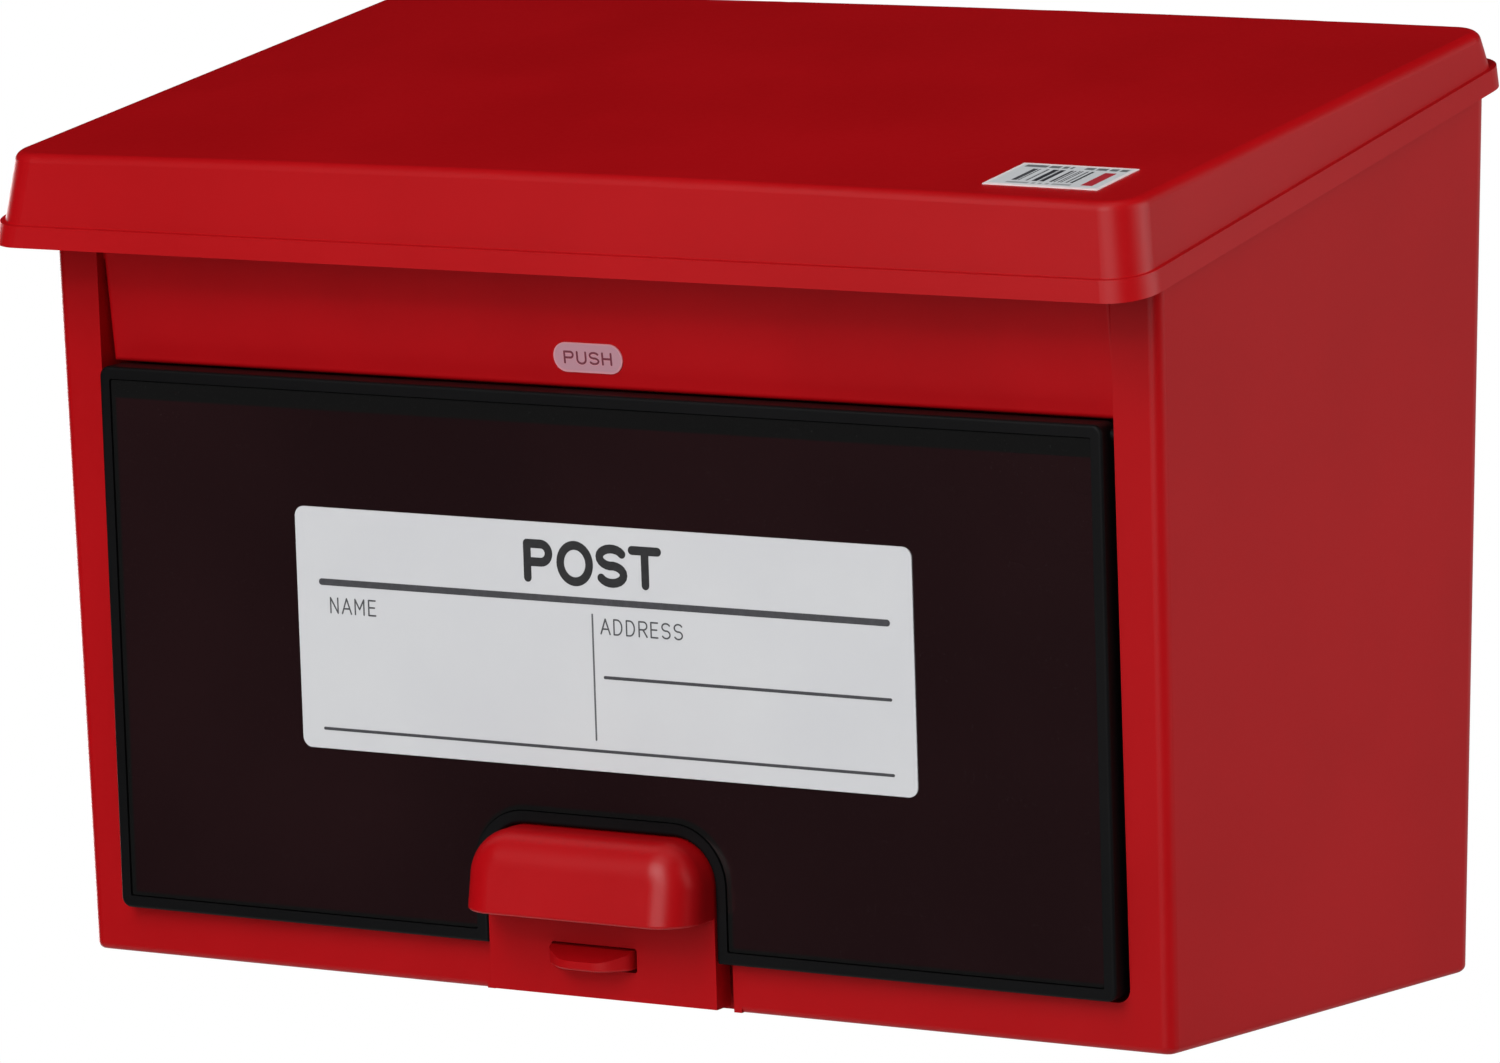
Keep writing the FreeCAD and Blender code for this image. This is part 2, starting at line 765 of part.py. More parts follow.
def make_handle():
    """Return the red handle: a flanged plate with a slot, a pull hood and two screw bosses."""
    face = -door_proud
    inner_face = face + handle_plate
    plate = slab(handle_outline(0.0, face, handle_bottom), Vector(0, handle_back - face, 0))
    hollow_outline = handle_outline(handle_flange, inner_face, handle_bottom + handle_flange)
    plate = plate.cut(slab(hollow_outline, Vector(0, handle_back - face, 0)))

    def is_lip(edge):
        bounds = edge.BoundBox
        return bounds.ZMax < hood_lip_height + 0.01 and bounds.YMin < face - 0.01

    hood = fillet_where(hood_solid(0.0, hood_lip_height), hood_lip_radius, is_lip)
    hood = hood.cut(hood_solid(hood_wall, hood_lip_height - hood_wall))
    bosses = []
    pilots = []
    for x in handle_screw_places():
        foot = Vector(x, inner_face - handle_plate / 2.0, handle_screw_height)
        bosses.append(cylinder(boss_radius, handle_back - foot.y, foot, Vector(0, 1, 0)))
        mouth = Vector(x, handle_back + 1.0, handle_screw_height)
        pilots.append(cylinder(handle_screw_radius + screw_fit, handle_screw_grip, mouth, Vector(0, -1, 0)))
    slot_left = tongue_offset_x - tongue_width / 2.0 - slot_side_gap
    slot_right = tongue_offset_x + tongue_width / 2.0 + slot_side_gap
    slot_corners = [
        (slot_left, slot_bottom, slot_corner_radius),
        (slot_right, slot_bottom, slot_corner_radius),
        (slot_right, slot_bottom + slot_height, slot_corner_radius),
        (slot_left, slot_bottom + slot_height, slot_corner_radius),
    ]
    slot = slab(outline(slot_corners, front_view(face - 1.0)), Vector(0, handle_plate + 2.0, 0))
    return hung(plate.fuse([hood] + bosses).cut(pilots + [slot]).removeSplitter())


def make_handle_screws():
    """Return both handle screws as one group."""
    seat = door_depth - door_proud + web_behind_rim
    screws = []
    for x in handle_screw_places():
        foot = Vector(x, seat, handle_screw_height)
        head = cylinder(handle_screw_head_radius, handle_screw_head_height, foot, Vector(0, 1, 0))
        shank = cylinder(handle_screw_radius, handle_screw_grip, foot, Vector(0, -1, 0))
        screws.append(head.fuse(shank).removeSplitter())
    return hung(Part.makeCompound(screws))


def main():
    """Build every piece, move it to the wall screws' centre and write its file."""
    os.makedirs("parts", exist_ok=True)
    pieces = {
        "casing": make_casing(),
        "lid": make_lid(),
        "lid_sticker": make_lid_sticker(),
        "flap": make_flap(),
        "push_badge": make_push_badge(),
        "door_frame": make_door_frame(),
        "door_window": make_door_window(),
        "name_card": make_name_card(),
        "handle": make_handle(),
        "handle_screws": make_handle_screws(),
    }
    for name, shape in pieces.items():
        placed = shape.copy()
        placed.translate(Vector(0, 0, -screw_centre_height))
        placed.exportStep(os.path.join("parts", name + ".step"))
        print(name, len(placed.Solids), placed.isValid(), round(placed.Volume / 1000.0, 2), "cm3")


main()
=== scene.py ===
"""Looks of a wall mounted post box: finishes, print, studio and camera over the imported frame.

Metres, in the frame's own axes: X runs along the front, Y towards the wall and Z up.
"""

import logging
import math
from dataclasses import dataclass
from enum import Enum

import bpy
from mathutils import Matrix, Vector


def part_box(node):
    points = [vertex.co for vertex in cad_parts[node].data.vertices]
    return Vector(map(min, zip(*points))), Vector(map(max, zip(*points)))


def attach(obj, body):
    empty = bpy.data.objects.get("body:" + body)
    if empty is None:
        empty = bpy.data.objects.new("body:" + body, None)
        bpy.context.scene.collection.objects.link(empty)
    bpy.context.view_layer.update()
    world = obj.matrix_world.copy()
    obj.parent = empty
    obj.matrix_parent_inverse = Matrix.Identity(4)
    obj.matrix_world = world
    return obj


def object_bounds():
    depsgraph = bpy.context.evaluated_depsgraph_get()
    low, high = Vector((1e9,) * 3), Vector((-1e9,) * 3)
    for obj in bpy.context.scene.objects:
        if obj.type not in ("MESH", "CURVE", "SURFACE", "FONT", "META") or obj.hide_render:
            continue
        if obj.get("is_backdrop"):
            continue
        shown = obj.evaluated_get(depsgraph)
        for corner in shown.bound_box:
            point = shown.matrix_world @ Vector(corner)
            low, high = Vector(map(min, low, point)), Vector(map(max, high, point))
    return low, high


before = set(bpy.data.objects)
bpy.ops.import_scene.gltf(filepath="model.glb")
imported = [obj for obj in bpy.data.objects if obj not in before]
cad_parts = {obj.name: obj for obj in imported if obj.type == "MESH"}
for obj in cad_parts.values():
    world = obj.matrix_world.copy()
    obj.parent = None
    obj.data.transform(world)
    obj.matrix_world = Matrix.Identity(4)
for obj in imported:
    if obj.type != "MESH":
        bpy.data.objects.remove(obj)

LOG = logging.getLogger("post_box")
MM = 0.001
DOOR_LEAN_DEG = 3.37
FLAP_LEAN_DEG = 9.5
INK_DEPTH = 0.02 * MM
STROKE_STEP = 0.001 * MM
CLOSED_GAP = 1e-9
NOISE_MIDDLE = 0.5

Point = tuple[float, float]
Path = list[Point]


class Body(Enum):
    """The frame's moving bodies, which the print rides on."""

    FLAP = "flap"
    DOOR = "door"


@dataclass(frozen=True)
class Tone:
    """A colour as a screen shows it, from 0 to 255 a channel."""

    red: float
    green: float
    blue: float

    def linear(self) -> tuple[float, float, float, float]:
        """Return the colour in the renderer's linear values, opaque, by the sRGB curve."""
        shares = [channel / 255.0 for channel in (self.red, self.green, self.blue)]
        values = [s / 12.92 if s <= 0.04045 else ((s + 0.055) / 1.055) ** 2.4 for s in shares]
        return (values[0], values[1], values[2], 1.0)

    def raised(self, red: float, green: float, blue: float) -> "Tone":
        """Return the colour with each channel raised by a number of steps."""
        return Tone(self.red + red, self.green + green, self.blue + blue)


class Value:
    """A number that varies over a surface, held as a shader socket."""

    def __init__(self, paint: "Paint", socket: bpy.types.NodeSocket) -> None:
        """Keep the paint and the socket that gives the number.

        Args:
            paint: the node tree that the socket belongs to.
            socket: the output that gives the number.
        """
        self.paint = paint
        self.socket = socket

    def _math(self, operation: str, first: "Value | float", second: "Value | float") -> "Value":
        """Return the result of a Math node on two numbers.

        Args:
            operation: the Math node's operation.
            first: its first number.
            second: its second number.

        Returns:
            The node's result.
        """
        made = self.paint.node("ShaderNodeMath", {"operation": operation}, {0: first, 1: second})
        return Value(self.paint, made.outputs[0])

    def __add__(self, other: "Value | float") -> "Value":
        """Return the sum."""
        return self._math("ADD", self, other)

    __radd__ = __add__

    def __sub__(self, other: "Value | float") -> "Value":
        """Return the difference."""
        return self._math("SUBTRACT", self, other)

    def __rsub__(self, other: "Value | float") -> "Value":
        """Return the difference from a number."""
        return self._math("SUBTRACT", other, self)

    def __mul__(self, other: "Value | float") -> "Value":
        """Return the product."""
        return self._math("MULTIPLY", self, other)

    __rmul__ = __mul__

    def __truediv__(self, other: "Value | float") -> "Value":
        """Return the quotient."""
        return self._math("DIVIDE", self, other)

    def __pow__(self, other: "Value | float") -> "Value":
        """Return the power."""
        return self._math("POWER", self, other)

    def __abs__(self) -> "Value":
        """Return the size without its sign."""
        return self._math("ABSOLUTE", self, 0.0)

    def highest(self, other: "Value | float") -> "Value":
        """Return the larger of two numbers."""
        return self._math("MAXIMUM", self, other)

    def floor(self) -> "Value":
        """Return the whole number below."""
        return self._math("FLOOR", self, 0.0)

    def ramp(self, low: float, high: float, start: float = 0.0, end: float = 1.0) -> "Value":
        """Return a smooth change from one number to another as this one rises.

        Args:
            low: where the change begins.
            high: where it ends.
            start: the result below low.
            end: the result above high.

        Returns:
            The changed number.
        """
        sockets = {"Value": self, "From Min": low, "From Max": high, "To Min": start, "To Max": end}
        made = self.paint.node("ShaderNodeMapRange", {"interpolation_type": "SMOOTHSTEP"}, sockets)
        return Value(self.paint, made.outputs["Result"])

    def inside(self, low: float, high: float, soft: float) -> "Value":
        """Return 1 between two limits and 0 outside them, with soft edges."""
        return self.ramp(low - soft, low + soft) * self.ramp(high - soft, high + soft, 1.0, 0.0)


class Paint:
    """A node tree, with one way to add any node to it."""

    MIX_SHARE = 0
    MIX_LOW_COLOUR = 6
    MIX_HIGH_COLOUR = 7
    MIX_COLOUR_OUTPUT = 2

    def __init__(self, tree: bpy.types.NodeTree) -> None:
        """Start from an empty tree.

        Args:
            tree: the tree of a material or of the world.
        """
        self.tree = tree
        tree.nodes.clear()

    def feed(self, socket: bpy.types.NodeSocket, value: object) -> None:
        """Set a socket to a plain value, or link it to a socket that gives one.

        Args:
            socket: the input to fill.
            value: a number, a colour, a varying number or an output socket.
        """
        if isinstance(value, Value):
            self.tree.links.new(value.socket, socket)
        elif isinstance(value, bpy.types.NodeSocket):
            self.tree.links.new(value, socket)
        elif isinstance(value, Tone):
            socket.default_value = value.linear()
        else:
            socket.default_value = value

    def node(self, kind: str, settings: dict | None = None, sockets: dict | None = None) -> bpy.types.Node:
        """Add a node.

        Args:
            kind: the node's type.
            settings: its own settings, which are set first.
            sockets: the values or links of its inputs.

        Returns:
            The new node.
        """
        made = self.tree.nodes.new(kind)
        for key, value in (settings or {}).items():
            setattr(made, key, value)
        for key, value in (sockets or {}).items():
            self.feed(made.inputs[key], value)
        return made

    def place(self) -> bpy.types.NodeSocket:
        """Return the surface's place in the frame, from the piece's own coordinates."""
        return self.node("ShaderNodeTexCoord").outputs["Object"]

    def axes(self, vector: bpy.types.NodeSocket) -> tuple[Value, Value, Value]:
        """Return a vector's three parts as numbers."""
        parts = self.node("ShaderNodeSeparateXYZ", {}, {"Vector": vector})
        return tuple(Value(self, output) for output in parts.outputs)

    def noise(self, vector: bpy.types.NodeSocket, scale: float, detail: float) -> Value:
        """Return a cloudy number from 0 to 1.

        Args:
            vector: the place to read it at.
            scale: how many clouds there are to a metre.
            detail: how many finer layers they have.

        Returns:
            The cloudy number.
        """
        sockets = {"Vector": vector, "Scale": scale, "Detail": detail}
        made = self.node("ShaderNodeTexNoise", {"noise_dimensions": "3D"}, sockets)
        return Value(self, made.outputs[0])

    def dice(self, number: Value) -> Value:
        """Return a fixed random number from 0 to 1 for each value of a number."""
        made = self.node("ShaderNodeTexWhiteNoise", {"noise_dimensions": "1D"}, {"W": number})
        return Value(self, made.outputs["Value"])

    def mix(self, share: Value, low: object, high: object) -> bpy.types.NodeSocket:
        """Return a colour between two colours.

        Args:
            share: 0 for the first colour and 1 for the second.
            low: the first colour.
            high: the second colour.

        Returns:
            The mixed colour's socket.
        """
        sockets = {self.MIX_SHARE: share, self.MIX_LOW_COLOUR: low, self.MIX_HIGH_COLOUR: high}
        made = self.node("ShaderNodeMix", {"data_type": "RGBA"}, sockets)
        return made.outputs[self.MIX_COLOUR_OUTPUT]

    def bump(self, height: Value, depth: float) -> bpy.types.NodeSocket:
        """Return the normal of a surface with a height that varies.

        Args:
            height: the height, where 1 is the full depth.
            depth: the full depth in metres.

        Returns:
            The normal's socket.
        """
        sockets = {"Strength": 1.0, "Distance": depth, "Height": height}
        return self.node("ShaderNodeBump", {}, sockets).outputs["Normal"]

    def surface(self, sockets: dict) -> None:
        """End the tree in a plain shader with the given sockets."""
        shader = self.node("ShaderNodeBsdfPrincipled", {}, sockets)
        self.node("ShaderNodeOutputMaterial", {}, {"Surface": shader.outputs[0]})


@dataclass(frozen=True)
class Finish:
    """A named finish that makes one material."""

    name: str

    def coat(self, paint: Paint) -> None:
        """Fill the material's node tree."""
        raise NotImplementedError

    def material(self) -> bpy.types.Material:
        """Return the finished material."""
        made = bpy.data.materials.new(self.name)
        made.use_nodes = True
        self.coat(Paint(made.node_tree))
        return made


@dataclass(frozen=True)
class MouldedPlastic(Finish):
    """Moulded plastic with a fine satin grain and cloudy shifts of tone and gloss."""

    tone: Tone
    deep_tone: Tone
    roughness: float = 0.4
    roughness_spread: float = 0.06
    specular: float = 0.2
    cloud_scale: float = 14.0
    cloud_limits: Point = (0.3, 0.7)
    fleck_scale: float = 600.0
    fleck_share: float = 0.2
    grain_scale: float = 1500.0
    grain_depth: float = 0.012 * MM

    def relief(self, paint: Paint, place: bpy.types.NodeSocket) -> Value:
        """Return the surface's height, as a share of the grain's depth."""
        return paint.noise(place, self.grain_scale, 3.0)

    def coat(self, paint: Paint) -> None:
        """Fill the tree with clouded colour, clouded gloss and a fine grain."""
        place = paint.place()
        clouds = paint.noise(place, self.cloud_scale, 4.0)
        flecks = paint.noise(place, self.fleck_scale, 1.0)
        share = clouds.ramp(*self.cloud_limits) * (1.0 - self.fleck_share) + flecks * self.fleck_share
        unevenness = (clouds - NOISE_MIDDLE) + (flecks - NOISE_MIDDLE)
        paint.surface({
            "Base Color": paint.mix(share, self.deep_tone, self.tone),
            "Roughness": self.roughness + unevenness * self.roughness_spread,
            "Specular IOR Level": self.specular,
            "Normal": paint.bump(self.relief(paint, place), self.grain_depth),
        })


@dataclass(frozen=True)
class LidPlastic(MouldedPlastic):
    """The lid's plastic, with the faint sink rings that its hidden posts leave in the top."""

    post_half_spacing: float = 110.5 * MM
    post_y: float = -169.5 * MM
    ring_radius: float = 6.5 * MM
    ring_width: float = 1.6 * MM
    ring_share: float = 4.0

    def relief(self, paint: Paint, place: bpy.types.NodeSocket) -> Value:
        """Return the grain's height with a shallow ring over each post."""
        x, y, _ = paint.axes(place)
        across = abs(x) - self.post_half_spacing
        along = y - self.post_y
        reach = (across * across + along * along) ** 0.5
        ring = reach.inside(self.ring_radius - self.ring_width, self.ring_radius, self.ring_width)
        return super().relief(paint, place) - ring * self.ring_share


@dataclass(frozen=True)
class SmokedPlastic(Finish):
    """Dark, glossy, faintly red smoked plastic, blacker along the margin where a ledge is behind it."""

    tone: Tone
    deep_tone: Tone
    ledge_tone: Tone
    low: Vector
    high: Vector
    notch_half_width: float = 41.5 * MM
    notch_top: float = -47.0 * MM
    notch_radius: float = 17.2 * MM
    side_margin: float = 1.5 * MM
    top_margin: float = 5.2 * MM
    foot_margin: float = 1.1 * MM
    margin_softness: float = 0.25 * MM
    cloud_scale: float = 9.0
    cloud_limits: Point = (0.3, 0.7)
    haze_scale: float = 60.0
    haze_depth: float = 0.004 * MM
    haze_roughness: float = 0.05
    dust_scale: float = 2600.0
    dust_limits: Point = (0.78, 0.84)
    dust_roughness: float = 0.2
    roughness: float = 0.13
    specular: float = 0.35

    def margin(self, paint: Paint, place: bpy.types.NodeSocket) -> Value:
        """Return 1 over the ledge and 0 elsewhere, as seen from a little to the right.

        Args:
            paint: the tree to add nodes to.
            place: the surface's place in the frame.

        Returns:
            The ledge's share.
        """
        x, _, z = paint.axes(place)
        soft = self.margin_softness
        side_edge = self.low.x + self.side_margin
        top_edge = self.high.z - self.top_margin
        foot_edge = self.low.z + self.foot_margin
        left = x.ramp(side_edge - soft, side_edge + soft, 1.0, 0.0)
        top = z.ramp(top_edge - soft, top_edge + soft)
        foot = z.ramp(foot_edge - soft, foot_edge + soft, 1.0, 0.0)
        grown = self.side_margin / 2.0
        across = abs(x - grown) - (self.notch_half_width - self.notch_radius)
        rise = z - (self.notch_top + self.foot_margin - grown - self.notch_radius)
        reach = (across.highest(0.0) ** 2.0 + rise.highest(0.0) ** 2.0) ** 0.5
        limit = self.notch_radius + grown
        notch = reach.ramp(limit - soft, limit + soft, 1.0, 0.0)
        return left.highest(top).highest(foot).highest(notch)

    def coat(self, paint: Paint) -> None:
        """Fill the tree with a dark clouded colour, a clear gloss and faint handling haze."""
        place = paint.place()
        clouds = paint.noise(place, self.cloud_scale, 3.0)
        haze = paint.noise(place, self.haze_scale, 5.0)
        dust = paint.noise(place, self.dust_scale, 0.0).ramp(*self.dust_limits)
        tone = paint.mix(clouds.ramp(*self.cloud_limits), self.deep_tone, self.tone)
        paint.surface({
            "Base Color": paint.mix(self.margin(paint, place), tone, self.ledge_tone),
            "Roughness": self.roughness + haze * self.haze_roughness + dust * self.dust_roughness,
            "Specular IOR Level": self.specular,
            "Normal": paint.bump(haze, self.haze_depth),
        })


@dataclass(frozen=True)
class CardPlastic(Finish):
    """Off white engraving plastic, faintly clouded, with a faint orange peel."""

    tone: Tone
    shade: Tone
    cloud_scale: float = 25.0
    cloud_limits: Point = (0.25, 0.75)
    peel_scale: float = 500.0
    peel_depth: float = 0.006 * MM
    roughness: float = 0.42
    roughness_spread: float = 0.06
    specular: float = 0.3

    def coat(self, paint: Paint) -> None:
        """Fill the tree with a near even white and its faint peel."""
        place = paint.place()
        clouds = paint.noise(place, self.cloud_scale, 3.0)
        peel = paint.noise(place, self.peel_scale, 1.0)
        paint.surface({
            "Base Color": paint.mix(clouds.ramp(*self.cloud_limits), self.shade, self.tone),
            "Roughness": self.roughness + peel * self.roughness_spread,
            "Specular IOR Level": self.specular,
            "Normal": paint.bump(peel, self.peel_depth),
        })


@dataclass(frozen=True)
class BadgePlastic(Finish):
    """The badge's milky plastic, with a painted highlight: a thin lighter and redder band at its rim."""

    tone: Tone
    rim_highlight_tone: Tone
    centre_x: float
    centre_z: float
    half_run: float
    half_height: float
    rim_highlight_width: float = 0.75 * MM
    rim_highlight_edge: float = 0.1 * MM
    cloud_scale: float = 900.0
    cloud_depth: float = 0.008 * MM
    roughness: float = 0.38
    roughness_spread: float = 0.08

    def coat(self, paint: Paint) -> None:
        """Fill the tree with the milky tone and the painted highlight band at its rim."""
        place = paint.place()
        x, _, z = paint.axes(place)
        beyond = (abs(x - self.centre_x) - self.half_run).highest(0.0)
        rise = z - self.centre_z
        reach = (beyond * beyond + rise * rise) ** 0.5
        # Painted highlight: the colour turns lighter and redder towards the rim, where the edge catches the
        # light.
        rim = reach.ramp(self.half_height - self.rim_highlight_width, self.half_height - self.rim_highlight_edge)
        clouds = paint.noise(place, self.cloud_scale, 2.0)
        paint.surface({
            "Base Color": paint.mix(rim, self.tone, self.rim_highlight_tone),
            "Roughness": self.roughness + clouds * self.roughness_spread,
            "Normal": paint.bump(clouds, self.cloud_depth),
        })


@dataclass(frozen=True)
class Field:
    """A rectangle with soft edges, in shares of a sticker's width and depth."""

    left: float
    right: float
    front: float
    rear: float
    soft_across: float = 0.006
    soft_along: float = 0.006

    def cover(self, across: Value, along: Value) -> Value:
        """Return 1 inside the rectangle and 0 outside it."""
        sides = across.inside(self.left, self.right, self.soft_across)
        return sides * along.inside(self.front, self.rear, self.soft_along)


@dataclass(frozen=True)
class BarRow:
    """A row of equal slots, some printed and the rest left empty by a fixed draw."""

    slots: float
    seed: float
    gap_share: float
    strength: float
    fields: tuple[Field, ...]
    gap_softness: float = 0.04

    def cover(self, paint: Paint, across: Value, along: Value) -> Value:
        """Return how dark the row prints at each place, from 0 to its strength.

        Args:
            paint: the tree to add nodes to.
            across: the place across the sticker's width, from 0 to 1.
            along: the place along its depth, from 0 to 1.

        Returns:
            The darkness.
        """
        drawn = paint.dice((across * self.slots).floor() + self.seed)
        filled = drawn.ramp(self.gap_share, self.gap_share + self.gap_softness)
        covers = [field.cover(across, along) for field in self.fields]
        return filled * sum(covers[1:], covers[0]) * self.strength


@dataclass(frozen=True)
class StickerPaper(Finish):
    """Coated sticker paper with plain bars, dashes and a block of colour, none of it readable."""

    paper: Tone
    shade: Tone
    ink: Tone
    block: Tone
    left: float
    front: float
    width: float
    depth: float
    rows: tuple[BarRow, ...] = (
        BarRow(slots=84.0, seed=0.0, gap_share=0.4, strength=1.0,
               fields=(Field(0.17, 0.73, 0.22, 0.76),)),
        BarRow(slots=44.0, seed=200.0, gap_share=0.26, strength=0.8,
               fields=(Field(0.06, 0.5, 0.83, 0.93), Field(0.58, 0.95, 0.83, 0.93))),
        BarRow(slots=34.0, seed=500.0, gap_share=0.4, strength=0.5,
               fields=(Field(0.16, 0.72, 0.1, 0.16),)),
    )
    block_field: Field = Field(0.8, 0.9, 0.14, 0.74)
    shade_field: Field = Field(0.03, 0.97, 0.06, 0.94, 0.01, 0.02)
    fibre_scale: float = 1800.0
    fibre_share: float = 0.2
    fibre_depth: float = 0.01 * MM
    roughness: float = 0.5
    roughness_spread: float = 0.1

    def coat(self, paint: Paint) -> None:
        """Fill the tree with the paper and its plain print."""
        place = paint.place()
        x, y, _ = paint.axes(place)
        across = (x - self.left) / self.width
        along = (y - self.front) / self.depth
        fibre = paint.noise(place, self.fibre_scale, 3.0)
        shading = self.shade_field.cover(across, along) * (1.0 - self.fibre_share + fibre * self.fibre_share)
        ground = paint.mix(shading, self.paper, self.shade)
        bars, dashes, marks = (row.cover(paint, across, along) for row in self.rows)
        printed = paint.mix(bars.highest(dashes).highest(marks), ground, self.ink)
        paint.surface({
            "Base Color": paint.mix(self.block_field.cover(across, along), printed, self.block),
            "Roughness": self.roughness + fibre * self.roughness_spread,
            "Normal": paint.bump(fibre, self.fibre_depth),
        })


@dataclass(frozen=True)
class Ink(Finish):
    """Print or engraving filler, faintly uneven."""

    tone: Tone
    worn_tone: Tone
    wear_scale: float = 700.0
    wear_limits: Point = (0.35, 0.75)
    wear_depth: float = 0.01 * MM
    roughness: float = 0.5
    roughness_spread: float = 0.12

    def coat(self, paint: Paint) -> None:
        """Fill the tree with a slightly uneven dark tone."""
        place = paint.place()
        wear = paint.noise(place, self.wear_scale, 3.0)
        paint.surface({
            "Base Color": paint.mix(wear.ramp(*self.wear_limits), self.tone, self.worn_tone),
            "Roughness": self.roughness + wear * self.roughness_spread,
            "Normal": paint.bump(wear, self.wear_depth),
        })


@dataclass(frozen=True)
class PlatedSteel(Finish):
    """Zinc plated steel, faintly blotched, with a fine grain."""

    tone: Tone
    dull_tone: Tone
    blotch_scale: float = 800.0
    blotch_limits: Point = (0.3, 0.7)
    grain_scale: float = 6000.0
    grain_depth: float = 0.01 * MM
    roughness: float = 0.28
    roughness_spread: float = 0.15

    def coat(self, paint: Paint) -> None:
        """Fill the tree with a faintly blotched metal and its fine grain."""
        place = paint.place()
        blotch = paint.noise(place, self.blotch_scale, 4.0)
        grain = paint.noise(place, self.grain_scale, 1.0)
        paint.surface({
            "Base Color": paint.mix(blotch.ramp(*self.blotch_limits), self.dull_tone, self.tone),
            "Metallic": 1.0,
            "Roughness": self.roughness + blotch * self.roughness_spread,
            "Normal": paint.bump(grain, self.grain_depth),
        })


@dataclass(frozen=True)
class FloorPaint(Finish):
    """A plain pale studio floor with the faintest unevenness."""

    tone: Tone
    shade: Tone
    cloud_scale: float = 2.0
    roughness: float = 0.8
    roughness_spread: float = 0.1

    def coat(self, paint: Paint) -> None:
        """Fill the tree with a pale, nearly even tone."""
        place = paint.place()
        clouds = paint.noise(place, self.cloud_scale, 3.0)
        paint.surface({
            "Base Color": paint.mix(clouds, self.shade, self.tone),
            "Roughness": self.roughness + clouds * self.roughness_spread,
        })


def dress(node: str, finish: Finish) -> None:
    """Give a node of the frame its finish.

    Args:
        node: the node's name.
        finish: the finish for all of it.
    """
    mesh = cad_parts[node].data
    made = finish.material()
    for index in range(len(mesh.materials)):
        mesh.materials[index] = made
    LOG.info("%s dressed in %s", node, finish.name)


def direction(azimuth_deg: float, elevation_deg: float) -> Vector:
    """Return the way from the box towards a direction.

    Args:
        azimuth_deg: the turn from straight in front, towards the right.
        elevation_deg: the angle above the floor.

    Returns:
        The way, one unit long.
    """
    around = math.radians(azimuth_deg)
    above = math.radians(elevation_deg)
    level = math.cos(above)
    return Vector((math.sin(around) * level, -math.cos(around) * level, math.sin(above)))


def arc(centre: Point, radii: Point, start_deg: float, end_deg: float, steps: int = 14) -> Path:
    """Return points along part of an ellipse.

    Args:
        centre: the ellipse's centre.
        radii: its half width and half height.
        start_deg: the angle of the first point.
        end_deg: the angle of the last one.
        steps: how many steps there are between them.

    Returns:
        The points in order.
    """
    angles = [math.radians(start_deg + (end_deg - start_deg) * i / steps) for i in range(steps + 1)]
    return [(centre[0] + radii[0] * math.cos(a), centre[1] + radii[1] * math.sin(a)) for a in angles]


def letter_strokes(letter: str, w: float) -> list[Path]:
    """Return a capital letter's strokes along their middle lines, one unit high.

    Args:
        letter: the capital letter.
        w: its width.

    Returns:
        One smooth path for each stroke.
    """
    left_stem = [(0.0, 0.0), (0.0, 1.0)]
    right_stem = [(w, 0.0), (w, 1.0)]
    bowl = [(0.0, 1.0)] + arc((w - 0.27, 0.735), (0.27, 0.265), 90, -90) + [(0.0, 0.47)]
    s_curve = arc((w / 2, 0.75), (w / 2, 0.25), 28, 262) + arc((w / 2, 0.255), (w / 2, 0.255), 82, -152)
    shapes = {
        "A": [[(0.0, 0.0), (w / 2, 1.0)], [(w / 2, 1.0), (w, 0.0)], [(0.17 * w, 0.33), (0.83 * w, 0.33)]],
        "D": [left_stem, [(0.0, 1.0)] + arc((0.4 * w, 0.5), (0.6 * w, 0.5), 90, -90) + [(0.0, 0.0)]],
        "E": [left_stem, [(0.0, 1.0), (w, 1.0)], [(0.0, 0.52), (0.86 * w, 0.52)], [(0.0, 0.0), (w, 0.0)]],
        "H": [left_stem, right_stem, [(0.0, 0.5), (w, 0.5)]],
        "M": [left_stem, right_stem, [(0.0, 1.0), (w / 2, 0.35)], [(w / 2, 0.35), (w, 1.0)]],
        "N": [left_stem, right_stem, [(0.0, 1.0), (w, 0.0)]],
        "O": [arc((w / 2, 0.5), (w / 2, 0.53), 90, 450, 40)],
        "P": [left_stem, bowl],
        "R": [left_stem, bowl, [(0.5 * w, 0.47), (w, 0.0)]],
        "S": [s_curve],
        "T": [[(0.0, 1.0), (w, 1.0)], [(w / 2, 1.0), (w / 2, 0.0)]],
        "U": [[(0.0, 1.0)] + arc((w / 2, 0.34), (w / 2, 0.36), 180, 360) + [(w, 1.0)]],
    }
    return shapes[letter]


def ribbon_outline(path: Path, width: float, cap_steps: int = 8) -> Path:
    """Return the outline of a stroke of even width with round ends.

    Args:
        path: the stroke's middle line.
        width: the stroke's width.
        cap_steps: how many steps each round end has.

    Returns:
        The closed outline's points.
    """
    half = width / 2.0
    headings = []
    for index in range(len(path)):
        before = Vector(path[max(index - 1, 0)])
        after = Vector(path[min(index + 1, len(path) - 1)])
        step = after - before
        headings.append(math.atan2(step.y, step.x))
    points = []
    for way in (1, -1):
        ordered = list(zip(path, headings))[::way]
        side = math.pi / 2.0
        for (x, y), heading in ordered:
            angle = heading + side if way == 1 else heading - side
            points.append((x + half * math.cos(angle), y + half * math.sin(angle)))
        (x, y), heading = ordered[-1]
        first = heading + side if way == 1 else heading - side
        for step in range(1, cap_steps):
            angle = first - math.pi * step / cap_steps
            points.append((x + half * math.cos(angle), y + half * math.sin(angle)))
    return points


